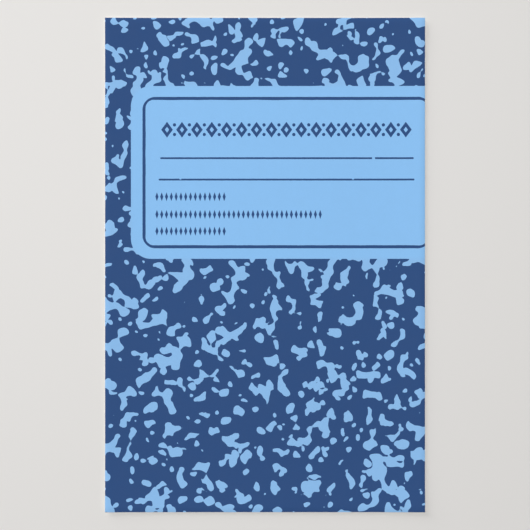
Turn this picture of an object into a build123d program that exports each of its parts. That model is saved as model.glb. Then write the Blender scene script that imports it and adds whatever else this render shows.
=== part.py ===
from build123d import *
import math
import os

# One cut sheet of heavy writing paper, lying on a table with its printed face up.
#
# Units are millimetres.  The origin is on the table under the middle of the sheet.  +Z is up,
# out of the printed face, +Y points to the head of the sheet and +X to its right-hand edge.
#
# The middle of the sheet lies flat on the table.  Round it a margin lifts clear of the table in
# one gentle bend, as paper does when ink covers one face: the margin follows a cylinder along
# each edge and a sphere at each corner, and all of them leave the flat middle without a crease.

# ---- driving dimensions ----

sheet_width = 139.7  # half-letter sheet, left to right
sheet_length = 215.9  # half-letter sheet, head to foot
paper_thickness = 0.2  # heavy writing paper
curl_width = 30.0  # from the edge of the sheet in to where it lies flat
edge_lift = 0.6  # of the underside above the table, at the middle of an edge

# ---- worked out from them ----

curl_radius = (curl_width**2 + edge_lift**2) / (2 * edge_lift)  # of the underside
flat_width = sheet_width - 2 * curl_width
flat_length = sheet_length - 2 * curl_width
curl_reach = 1.5 * curl_width  # the bend is drawn past a corner's diagonal, then trimmed
reach_angle = math.degrees(math.asin(curl_reach / curl_radius))
trim_height = curl_reach  # well above the highest corner

# planes that stand across the margin, where it leaves the flat middle
right_margin = Plane(origin=(flat_width / 2, 0, 0), x_dir=(1, 0, 0), z_dir=(0, -1, 0))
head_margin = Plane(origin=(0, flat_length / 2, 0), x_dir=(0, 1, 0), z_dir=(1, 0, 0))
corner_margin = Plane(origin=(flat_width / 2, flat_length / 2, 0), x_dir=(1, 0, 0), z_dir=(0, -1, 0))
corner_axis = Axis((flat_width / 2, flat_length / 2, 0), (0, 0, 1))


def margin_section(plane):
    """The bent margin cut across: a thin arc that leaves the flat middle level."""
    with BuildSketch(plane) as section:
        with BuildLine():
            centre = (0, curl_radius)
            underside = CenterArc(centre, curl_radius, -90, reach_angle)
            printed_face = CenterArc(centre, curl_radius - paper_thickness, -90, reach_angle)
            Line(underside @ 0, printed_face @ 0)
            Line(underside @ 1, printed_face @ 1)
        make_face()
    return section.sketch


# ---- the sheet ----

with BuildPart() as printed_sheet:
    with BuildSketch() as flat_middle:
        Rectangle(flat_width, flat_length)
    extrude(amount=paper_thickness)

    extrude(margin_section(right_margin), amount=flat_length / 2, both=True)
    extrude(margin_section(head_margin), amount=flat_width / 2, both=True)
    revolve(margin_section(corner_margin), axis=corner_axis, revolution_arc=90)
    mirror(about=Plane.YZ)
    mirror(about=Plane.XZ)

    with BuildSketch() as cut_outline:
        Rectangle(sheet_width, sheet_length)
    extrude(amount=trim_height, mode=Mode.INTERSECT)

printed_sheet.part.label = "printed_sheet"

os.makedirs("parts", exist_ok=True)
export_step(printed_sheet.part, "parts/printed_sheet.step")

print(f"bend radius {curl_radius:.1f} mm, volume {printed_sheet.part.volume:.1f} mm3")
print(f"height of the corners {printed_sheet.part.bounding_box().max.Z:.2f} mm")
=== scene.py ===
import math
import random

import bmesh
import bpy
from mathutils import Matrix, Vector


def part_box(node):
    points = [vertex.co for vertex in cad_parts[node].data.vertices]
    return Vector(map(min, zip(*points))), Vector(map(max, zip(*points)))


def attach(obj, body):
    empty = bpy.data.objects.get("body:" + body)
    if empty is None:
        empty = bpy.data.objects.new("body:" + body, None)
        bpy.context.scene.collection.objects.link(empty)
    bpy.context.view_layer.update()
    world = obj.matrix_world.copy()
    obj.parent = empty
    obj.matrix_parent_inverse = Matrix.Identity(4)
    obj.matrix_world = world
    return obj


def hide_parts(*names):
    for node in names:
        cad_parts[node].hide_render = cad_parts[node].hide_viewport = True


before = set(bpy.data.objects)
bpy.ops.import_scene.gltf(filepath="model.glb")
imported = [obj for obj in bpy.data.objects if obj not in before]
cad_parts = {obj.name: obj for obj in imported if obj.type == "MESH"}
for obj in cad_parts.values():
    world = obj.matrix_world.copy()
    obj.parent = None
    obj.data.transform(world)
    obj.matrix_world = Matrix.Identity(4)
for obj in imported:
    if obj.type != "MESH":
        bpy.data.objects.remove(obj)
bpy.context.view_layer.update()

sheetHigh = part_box("printed_sheet")[1]
mm = 0.001

# Sizes below are in millimetres, and places on the print are counted from the middle of the sheet.
halfWidth = sheetHigh.x / mm
halfLength = sheetHigh.y / mm
cornerHeight = sheetHigh.z / mm
print(f"frame: sheet {2 * halfWidth:.1f} x {2 * halfLength:.1f} mm, corners {cornerHeight:.2f} mm high")

bpy.context.scene.view_settings.view_transform = "Standard"


view = {
    "width": 231.8,  # how much of the table the picture takes in
    "lens": 100.0,
    "sensor": 36.0,
}


def addCamera():
    lensData = bpy.data.cameras.new("camera")
    lensData.lens = view["lens"]
    lensData.sensor_width = view["sensor"]
    camera = bpy.data.objects.new("camera", lensData)
    camera.location.z = view["width"] * mm * view["lens"] / view["sensor"]  # looks straight down
    bpy.context.collection.objects.link(camera)
    bpy.context.scene.camera = camera
    print(f"camera: {camera.location.z:.3f} m above the table")


# Short ways to add nodes. A value is a number, a colour, a place or another node's output.
def addNode(tree, kind, **settings):
    node = tree.nodes.new(kind)
    for name, value in settings.items():
        setattr(node, name, value)
    return node


def feed(tree, socket, value):
    if isinstance(value, bpy.types.NodeSocket):
        tree.links.new(value, socket)
    else:
        socket.default_value = value


def calc(tree, operation, *values):
    node = addNode(tree, "ShaderNodeMath", operation=operation)
    for socket, value in zip(node.inputs, values):
        feed(tree, socket, value)
    return node.outputs["Value"]


def calcPlace(tree, operation, *values):
    node = addNode(tree, "ShaderNodeVectorMath", operation=operation)
    for socket, value in zip(node.inputs, values):
        feed(tree, socket, value)
    return node.outputs["Value" if operation == "LENGTH" else "Vector"]


def smallest(tree, values):
    found = values[0]
    for value in values[1:]:
        found = calc(tree, "MINIMUM", found, value)
    return found


fineDetail = 2.0  # more, finer layers in a noise that has to look natural close up


# Smooth noise from -1 to 1, with cells of the size given.
def noise(tree, place, size, detail=0.0, turn=(0.0, 0.0, 0.0), shift=(0.0, 0.0, 0.0)):
    mapping = addNode(tree, "ShaderNodeMapping")
    feed(tree, mapping.inputs["Vector"], place)
    mapping.inputs["Scale"].default_value = (1 / size, 1 / size, 1 / size)
    mapping.inputs["Rotation"].default_value = turn
    mapping.inputs["Location"].default_value = shift
    texture = addNode(tree, "ShaderNodeTexNoise")
    feed(tree, texture.inputs["Vector"], mapping.outputs["Vector"])
    texture.inputs["Scale"].default_value = 1.0
    texture.inputs["Detail"].default_value = detail
    return calc(tree, "MULTIPLY_ADD", texture.outputs["Fac"], 2.0, -1.0)


def mixColour(tree, share, first, second, blend="MIX"):
    mix = addNode(tree, "ShaderNodeMix", data_type="RGBA", blend_type=blend)
    colours = [socket for socket in mix.inputs if socket.type == "RGBA"]
    feed(tree, mix.inputs["Factor"], share)
    feed(tree, colours[0], first)
    feed(tree, colours[1], second)
    return next(socket for socket in mix.outputs if socket.type == "RGBA")


# A colour as a screen shows it, 0 to 255, in the numbers that a shader takes.
def screenColour(red, green, blue):
    shares = (red / 255, green / 255, blue / 255)
    return tuple(s / 12.92 if s <= 0.04045 else ((s + 0.055) / 1.055) ** 2.4 for s in shares) + (1.0,)


# A new material's tree and shader, with the place on the piece in millimetres.
def newMaterial(name):
    material = bpy.data.materials.new(name)
    material.use_nodes = True
    tree = material.node_tree
    coordinates = addNode(tree, "ShaderNodeTexCoord")
    place = calcPlace(tree, "MULTIPLY", coordinates.outputs["Object"], (1 / mm, 1 / mm, 1 / mm))
    return material, tree, tree.nodes["Principled BSDF"], place


# The paper's surface: soft marks of the felt it dried on, and fine ones of its fibres.
def addTooth(tree, shader, place, tooth):
    felt = noise(tree, place, tooth["feltSize"], fineDetail)
    fibre = noise(tree, place, tooth["fibreSize"], fineDetail)
    bump = addNode(tree, "ShaderNodeBump")
    bump.inputs["Distance"].default_value = tooth["height"] * mm
    feed(tree, bump.inputs["Height"], calc(tree, "MULTIPLY_ADD", felt, tooth["feltShare"], fibre))
    tree.links.new(bump.outputs["Normal"], shader.inputs["Normal"])


# Colour whose depth wavers a little over the sheet, and the sheen and tooth that go with it.
def finishSurface(tree, shader, place, colour, finish):
    fine = noise(tree, place, finish["fineSize"], fineDetail)
    broad = noise(tree, place, finish["broadSize"], fineDetail)
    waver = calc(tree, "ADD", fine, broad)
    depth = calc(tree, "MULTIPLY_ADD", waver, finish["uneven"] / 2, 1.0)
    colour = mixColour(tree, 1.0, colour, depth, "MULTIPLY")
    tree.links.new(colour, shader.inputs["Base Color"])
    roughness = finish["roughness"]
    if "roughnessVaries" in finish:
        roughness = calc(tree, "MULTIPLY_ADD", broad, finish["roughnessVaries"], roughness)
    feed(tree, shader.inputs["Roughness"], roughness)
    shader.inputs["Specular IOR Level"].default_value = finish["specular"]
    addTooth(tree, shader, place, finish["tooth"])


mottle = {
    "seed": 346,  # turns and shifts the noises below
    "passes": (  # size of the cells, level above which it prints light, slope there for each mm
        (3.6, 0.557, 0.262),
        (4.0, 0.374, 0.249),
        (5.2, 0.474, 0.190),
    ),
    "coarser": 1.3,  # each pass adds a second noise, with cells this much larger
    "coarseShare": 0.8,
    "gatherSize": 14.0,  # and a broad one gathers the spots into clusters
    "gatherShare": 0.26,
    "join": 1.3,  # how softly the spots of one pass run into the next one's
}


def turnedNoise(tree, place, size, dice):
    turn = [dice.uniform(0, 2 * math.pi) for _ in range(3)]
    shift = [dice.uniform(0, 100) for _ in range(3)]
    return noise(tree, place, size, 0.0, turn, shift)


# About how far a place is from the light spots, less than nothing on them.
def drawMottle(tree, place):
    dice = random.Random(mottle["seed"])
    gather = turnedNoise(tree, place, mottle["gatherSize"], dice)
    drawn = None
    for size, level, slope in mottle["passes"]:
        fine = turnedNoise(tree, place, size, dice)
        coarse = turnedNoise(tree, place, size * mottle["coarser"], dice)
        total = calc(tree, "MULTIPLY_ADD", coarse, mottle["coarseShare"], fine)
        total = calc(tree, "MULTIPLY_ADD", gather, mottle["gatherShare"], total)
        spots = calc(tree, "DIVIDE", calc(tree, "SUBTRACT", total, level), -slope)
        drawn = spots if drawn is None else calc(tree, "SMOOTH_MIN", drawn, spots, mottle["join"])
    return drawn


# How far a place is from a box with round corners, less than nothing inside it.
def roundedBox(tree, place, left, right, bottom, top, corner=0.0):
    middle = ((left + right) / 2, (bottom + top) / 2, 0.0)
    half = ((right - left) / 2 - corner, (top - bottom) / 2 - corner, 0.0)
    away = calcPlace(tree, "ABSOLUTE", calcPlace(tree, "SUBTRACT", place, middle))
    away = calcPlace(tree, "SUBTRACT", away, half)
    outside = calcPlace(tree, "LENGTH", calcPlace(tree, "MAXIMUM", away, (0.0, 0.0, 0.0)))
    parts = addNode(tree, "ShaderNodeSeparateXYZ")
    feed(tree, parts.inputs[0], away)
    inside = calc(tree, "MINIMUM", calc(tree, "MAXIMUM", parts.outputs[0], parts.outputs[1]), 0.0)
    return calc(tree, "SUBTRACT", calc(tree, "ADD", outside, inside), corner)


# The same for a lozenge standing on its point, and for a disc.
def lozenge(tree, x, y, halfAcross, halfUp):
    across = calc(tree, "DIVIDE", calc(tree, "ABSOLUTE", x), halfAcross)
    up = calc(tree, "DIVIDE", calc(tree, "ABSOLUTE", y), halfUp)
    scale = halfAcross * halfUp / math.hypot(halfAcross, halfUp)
    return calc(tree, "MULTIPLY", calc(tree, "SUBTRACT", calc(tree, "ADD", across, up), 1.0), scale)


def disc(tree, x, y, radius):
    squares = calc(tree, "ADD", calc(tree, "MULTIPLY", x, x), calc(tree, "MULTIPLY", y, y))
    return calc(tree, "SUBTRACT", calc(tree, "SQRT", squares), radius)


def without(tree, shape, cutter):
    return calc(tree, "MAXIMUM", shape, calc(tree, "MULTIPLY", cutter, -1.0))


# Counts along a row that repeats, from nothing at the middle of each repeat.
def repeated(tree, value, start, pitch):
    return calc(tree, "WRAP", calc(tree, "SUBTRACT", value, start), pitch / 2, -pitch / 2)


panel = {  # the light panel, which runs off the right-hand edge
    "left": 11.25,  # in from the sheet's left edge
    "pastRight": 7.75,
    "top": 29.7,  # down from the sheet's head
    "height": 75.55,
    "corner": 8.8,
    "joinRound": 0.5,  # how softly the spots run into it
}


def panelEdges():
    top = halfLength - panel["top"]
    return panel["left"] - halfWidth, halfWidth + panel["pastRight"], top - panel["height"], top


border = {  # the dark line round the panel, in from its edges
    "left": 5.05,
    "right": 5.2,
    "top": 4.75,
    "bottom": 4.6,
    "corner": 5.6,
    "innerCorner": 3.6,  # tight for the line's width, so the line is thinner round its corners
    "line": 1.35,
    "lineVaries": 0.12,
    "variesOver": 9.0,
}


def drawBorder(tree, place):
    left, right, bottom, top = panelEdges()
    left, right = left + border["left"], right - border["right"]
    bottom, top = bottom + border["bottom"], top - border["top"]
    line = border["line"]
    outer = roundedBox(tree, place, left, right, bottom, top, border["corner"])
    inner = roundedBox(
        tree, place, left + line, right - line, bottom + line, top - line, border["innerCorner"]
    )
    uneven = noise(tree, place, border["variesOver"])
    inner = calc(tree, "MULTIPLY_ADD", uneven, border["lineVaries"], inner)
    return without(tree, outer, inner)


rules = {  # two lines to write on
    "upper": (46.7, -45.8, 65.0),  # height, left end, right end
    "lower": (37.35, -46.5, 65.3),
    "line": 0.8,
    "gap": (46.8, 48.1),  # the upper one misses a little here
    "gapHalfUp": 1.0,
    "nicks": (-37.0, 38.5),  # and the lower one is thin here
    "nickSize": 0.55,
}


def drawRules(tree, place, x, y):
    half = rules["line"] / 2
    upper, lower = (
        roundedBox(tree, place, left, right, height - half, height + half, half)
        for height, left, right in (rules["upper"], rules["lower"])
    )
    low, high = rules["upper"][0] - rules["gapHalfUp"], rules["upper"][0] + rules["gapHalfUp"]
    upper = without(tree, upper, roundedBox(tree, place, *rules["gap"], low, high))
    size = rules["nickSize"]
    for nick in rules["nicks"]:
        above = calc(tree, "SUBTRACT", y, rules["lower"][0] + size)
        lower = without(tree, lower, disc(tree, calc(tree, "SUBTRACT", x, nick), above, size))
    return calc(tree, "MINIMUM", upper, lower)


band = {  # the ornament at the head of the panel: hollow lozenges with two dots between each
    "left": -46.1,
    "right": 64.8,
    "middle": 59.15,
    "repeats": 17,
    "halfUp": 3.45,
    "halfAcross": 2.55,
    "hollow": 0.36,
    "dot": 0.72,
    "dotRise": 2.1,
}


def drawBand(tree, place, x, y):
    left, right, middle = band["left"], band["right"], band["middle"]
    halfUp, halfAcross, hollow = band["halfUp"], band["halfAcross"], band["hollow"]
    pitch = (right - left) / band["repeats"]
    up = calc(tree, "SUBTRACT", y, middle)
    across = repeated(tree, x, left + pitch / 2, pitch)
    ring = lozenge(tree, across, up, halfAcross, halfUp)
    ring = without(tree, ring, lozenge(tree, across, up, halfAcross * hollow, halfUp * hollow))
    rise = calc(tree, "SUBTRACT", calc(tree, "ABSOLUTE", up), band["dotRise"])
    dots = disc(tree, repeated(tree, x, left, pitch), rise, band["dot"])
    left, right = left + band["dot"], right - band["dot"]  # so no half dots show at the ends
    inside = roundedBox(tree, place, left, right, middle - 2 * halfUp, middle + 2 * halfUp)
    return calc(tree, "MAXIMUM", calc(tree, "MINIMUM", ring, dots), inside)


rows = {  # three rows of small marks at the foot of the panel
    "places": ((29.85, 15), (22.1, 35), (14.8, 15)),  # height, and how many marks
    "left": -48.3,
    "pitch": 2.1,
    "halfUp": 1.95,
    "halfAcross": 0.68,
}


def drawRows(tree, place, x, y):
    drawn = []
    left = rows["left"]
    for middle, marksInRow in rows["places"]:
        right = left + marksInRow * rows["pitch"]
        across = repeated(tree, x, left + rows["pitch"] / 2, rows["pitch"])
        up = calc(tree, "SUBTRACT", y, middle)
        marks = lozenge(tree, across, up, rows["halfAcross"], rows["halfUp"])
        low, high = middle - 2 * rows["halfUp"], middle + 2 * rows["halfUp"]
        drawn.append(calc(tree, "MAXIMUM", marks, roundedBox(tree, place, left, right, low, high)))
    return smallest(tree, drawn)


ink = {
    "dark": screenColour(40, 75, 127),
    "spots": screenColour(138, 187, 236),
    "panel": screenColour(137, 191, 242),
    "edgeSoft": 0.06,  # half the width over which one ink gives way to the other
    "panelSoft": 1.2,  # and the same between the panel's light ink and the spots'
    "wobble": 0.05,  # unevenness of the printed edges
    "wobbleSize": 1.4,
    "uneven": 0.04,
    "fineSize": 0.6,
    "broadSize": 5.0,
    "roughness": 0.75,
    "roughnessVaries": 0.05,
    "specular": 0.25,
    "tooth": {"feltSize": 1.6, "fibreSize": 0.45, "feltShare": 1.5, "height": 0.006},
}


# 1 where a shape prints and 0 outside it.
def inked(tree, distance, soft):
    edge = addNode(tree, "ShaderNodeMapRange", interpolation_type="SMOOTHSTEP")
    feed(tree, edge.inputs["Value"], distance)
    edge.inputs["From Min"].default_value = soft
    edge.inputs["From Max"].default_value = -soft
    return edge.outputs["Result"]


def printedFace():
    material, tree, shader, solid = newMaterial("printedFace")
    place = calcPlace(tree, "MULTIPLY", solid, (1.0, 1.0, 0.0))  # the print ignores the bend
    parts = addNode(tree, "ShaderNodeSeparateXYZ")
    feed(tree, parts.inputs[0], place)
    x, y = parts.outputs[0], parts.outputs[1]

    panelShape = roundedBox(tree, place, *panelEdges(), panel["corner"])
    light = calc(tree, "SMOOTH_MIN", panelShape, drawMottle(tree, place), panel["joinRound"])
    drawn = [calc(tree, "MULTIPLY", light, -1.0), drawBorder(tree, place)]
    drawn += [drawing(tree, place, x, y) for drawing in (drawRules, drawBand, drawRows)]
    wobble = noise(tree, place, ink["wobbleSize"], 1.0)
    dark = calc(tree, "MULTIPLY_ADD", wobble, ink["wobble"], smallest(tree, drawn))

    onPanel = inked(tree, panelShape, ink["panelSoft"])
    lightInk = mixColour(tree, onPanel, ink["spots"], ink["panel"])
    colour = mixColour(tree, inked(tree, dark, ink["edgeSoft"]), lightInk, ink["dark"])
    finishSurface(tree, shader, solid, colour, ink)
    print(f"printed face: {len(tree.nodes)} nodes")
    return material


bare = {
    "colour": screenColour(244, 242, 236),
    "uneven": 0.03,
    "fineSize": 0.8,
    "broadSize": 6.0,
    "roughness": 0.85,
    "roughnessVaries": 0.04,
    "specular": 0.25,
    "tooth": {"feltSize": 1.6, "fibreSize": 0.45, "feltShare": 1.5, "height": 0.010},
}


cut = {
    "colour": screenColour(236, 234, 228),
    "uneven": 0.10,
    "fineSize": 0.12,
    "broadSize": 1.5,
    "roughness": 0.9,
    "specular": 0.2,
    "tooth": {"feltSize": 0.5, "fibreSize": 0.08, "feltShare": 0.8, "height": 0.012},
}


# Paper with no ink on it: the back, and the cut edge.
def barePaper(name, finish):
    material, tree, shader, place = newMaterial(name)
    finishSurface(tree, shader, place, finish["colour"], finish)
    print(f"{name}: {len(tree.nodes)} nodes")
    return material


paper = {
    "thickness": 0.2,
    "curlWidth": 30.0,  # from an edge of the sheet in to where it lies flat
    "cellsAcross": 56,
    "cellsAlong": 86,
    "edgeRound": 0.02,  # the cut leaves the edges only just soft
    "edgeSteps": 2,
    "faceOnMap": 0.86,  # share of the map's height that the printed face takes
    "backOnMap": 0.11,
    "mapGap": 0.006,
}


printedIndex, backIndex, cutIndex = range(3)  # the places of the sheet's materials


# Radius of the underside's bend, worked out from how high the corners stand.
def bendRadius():
    thickness, curl = paper["thickness"], paper["curlWidth"]
    return (cornerHeight**2 + 2 * curl**2 - thickness**2) / (2 * (cornerHeight - thickness))


# Height of the underside, or of the face that lies so far above it.
def heightAt(x, y, above):
    beyondX = max(abs(x) - halfWidth + paper["curlWidth"], 0.0)
    beyondY = max(abs(y) - halfLength + paper["curlWidth"], 0.0)
    radius = bendRadius()
    return radius - math.sqrt((radius - above) ** 2 - beyondX**2 - beyondY**2)


def isBroad(face):
    return abs(face.normal.z) > 0.5  # turned more up or down than sideways


# True for an edge between the cut side and one of the broad faces.
def isRim(edge):
    return len({isBroad(face) for face in edge.link_faces}) == 2


# Gives the printed face nearly the whole map, and the back and the cut edge a strip each.
def layOutMap(sheet):
    layer = sheet.loops.layers.uv.new("OFBake")
    backStart = paper["faceOnMap"] + paper["mapGap"]
    edgeStart = backStart + paper["backOnMap"] + paper["mapGap"]
    around = 4 * (halfWidth + halfLength)  # the whole way round the cut edge
    for face in sheet.faces:
        alongX = abs(face.normal.y) > abs(face.normal.x)
        farSide = (face.normal.y if alongX else face.normal.x) > 0
        for loop in face.loops:
            x, y, z = (value / mm for value in loop.vert.co)
            across = (x + halfWidth) / (2 * halfWidth)
            length = (y + halfLength) / (2 * halfLength)
            if face.material_index == printedIndex:
                place = (length, across * paper["faceOnMap"])
            elif face.material_index == backIndex:
                place = (length, backStart + across * paper["backOnMap"])
            else:
                run = x + halfWidth if alongX else 2 * halfWidth + y + halfLength
                run += farSide * around / 2
                place = (run / around, edgeStart + (1 - edgeStart) * z / cornerHeight)
            loop[layer].uv = place


def buildSheet():
    sheet = bmesh.new()
    bmesh.ops.create_grid(
        sheet, x_segments=paper["cellsAcross"], y_segments=paper["cellsAlong"], size=1.0
    )
    bmesh.ops.scale(sheet, vec=(halfWidth * mm, halfLength * mm, 1.0), verts=sheet.verts)
    raised = bmesh.ops.extrude_face_region(sheet, geom=sheet.faces[:])
    upper = {item for item in raised["geom"] if isinstance(item, bmesh.types.BMVert)}
    for vert in sheet.verts:
        above = paper["thickness"] if vert in upper else 0.0
        vert.co.z = heightAt(vert.co.x / mm, vert.co.y / mm, above) * mm
    sheet.normal_update()
    bmesh.ops.bevel(
        sheet,
        geom=[edge for edge in sheet.edges if isRim(edge)],
        offset=paper["edgeRound"] * mm,
        segments=paper["edgeSteps"],
        profile=0.5,
        affect="EDGES",
        material=-1,
        clamp_overlap=True,
    )
    sheet.normal_update()
    for face in sheet.faces:
        face.smooth = True
        broadIndex = printedIndex if face.normal.z > 0 else backIndex
        face.material_index = broadIndex if isBroad(face) else cutIndex
    layOutMap(sheet)
    mesh = bpy.data.meshes.new("noteSheet")
    sheet.to_mesh(mesh)
    sheet.free()
    for material in (printedFace(), barePaper("bareBack", bare), barePaper("cutEdge", cut)):
        mesh.materials.append(material)
    piece = bpy.data.objects.new("noteSheet", mesh)
    bpy.context.collection.objects.link(piece)
    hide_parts("printed_sheet")
    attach(piece, "root")
    print(f"sheet: {len(mesh.polygons)} faces, bend radius {bendRadius():.1f} mm")


table = {
    "size": 4.0,  # metres
    "colour": screenColour(219, 218, 217),
    "roughness": 0.55,
    "below": 0.02,  # just clear of the sheet's underside
}


def addTable():
    bpy.ops.mesh.primitive_plane_add(size=table["size"], location=(0, 0, -table["below"] * mm))
    top = bpy.context.object
    top.name = "table"
    material = bpy.data.materials.new("table")
    material.use_nodes = True
    shader = material.node_tree.nodes["Principled BSDF"]
    shader.inputs["Base Color"].default_value = table["colour"]
    shader.inputs["Roughness"].default_value = table["roughness"]
    top.data.materials.append(material)


overhead = {  # the large soft light that does most of the work
    "place": (-0.3, 0.3, 2.5),  # metres
    "size": 1.1,
    "power": 49.0,
    "colour": (1.0, 0.99, 0.975),
}
window = {  # low and broad, from the upper left, which gives the soft shadow
    "place": (-1.6, 1.6, 0.72),
    "size": 1.4,
    "power": 41.0,
    "colour": (1.0, 0.99, 0.975),
}
room = {
    "colour": (1.0, 1.0, 1.0, 1.0),
    "horizon": 0.7,  # pale low down all round
    "above": 0.05,  # and dim from this high, so the lights above make the shadow
    "height": 0.35,
}


def addSoftbox(name, light):
    lamp = bpy.data.lights.new(name, "AREA")
    lamp.size = light["size"]
    lamp.energy = light["power"]
    lamp.color = light["colour"]
    softbox = bpy.data.objects.new(name, lamp)
    softbox.location = light["place"]
    softbox.rotation_euler = softbox.location.to_track_quat("Z", "Y").to_euler()
    bpy.context.collection.objects.link(softbox)


def addLights():
    addSoftbox("overhead", overhead)
    addSoftbox("window", window)
    world = bpy.data.worlds.new("room")
    world.use_nodes = True
    tree = world.node_tree
    background = tree.nodes["Background"]
    background.inputs["Color"].default_value = room["colour"]
    direction = addNode(tree, "ShaderNodeTexCoord")
    parts = addNode(tree, "ShaderNodeSeparateXYZ")
    feed(tree, parts.inputs[0], direction.outputs["Generated"])
    fade = addNode(tree, "ShaderNodeMapRange")
    feed(tree, fade.inputs["Value"], parts.outputs[2])
    fade.inputs["From Max"].default_value = room["height"]
    fade.inputs["To Min"].default_value = room["horizon"]
    fade.inputs["To Max"].default_value = room["above"]
    feed(tree, background.inputs["Strength"], fade.outputs["Result"])
    bpy.context.scene.world = world
    print("table and lights: done")


addCamera()
buildSheet()
addTable()
addLights()
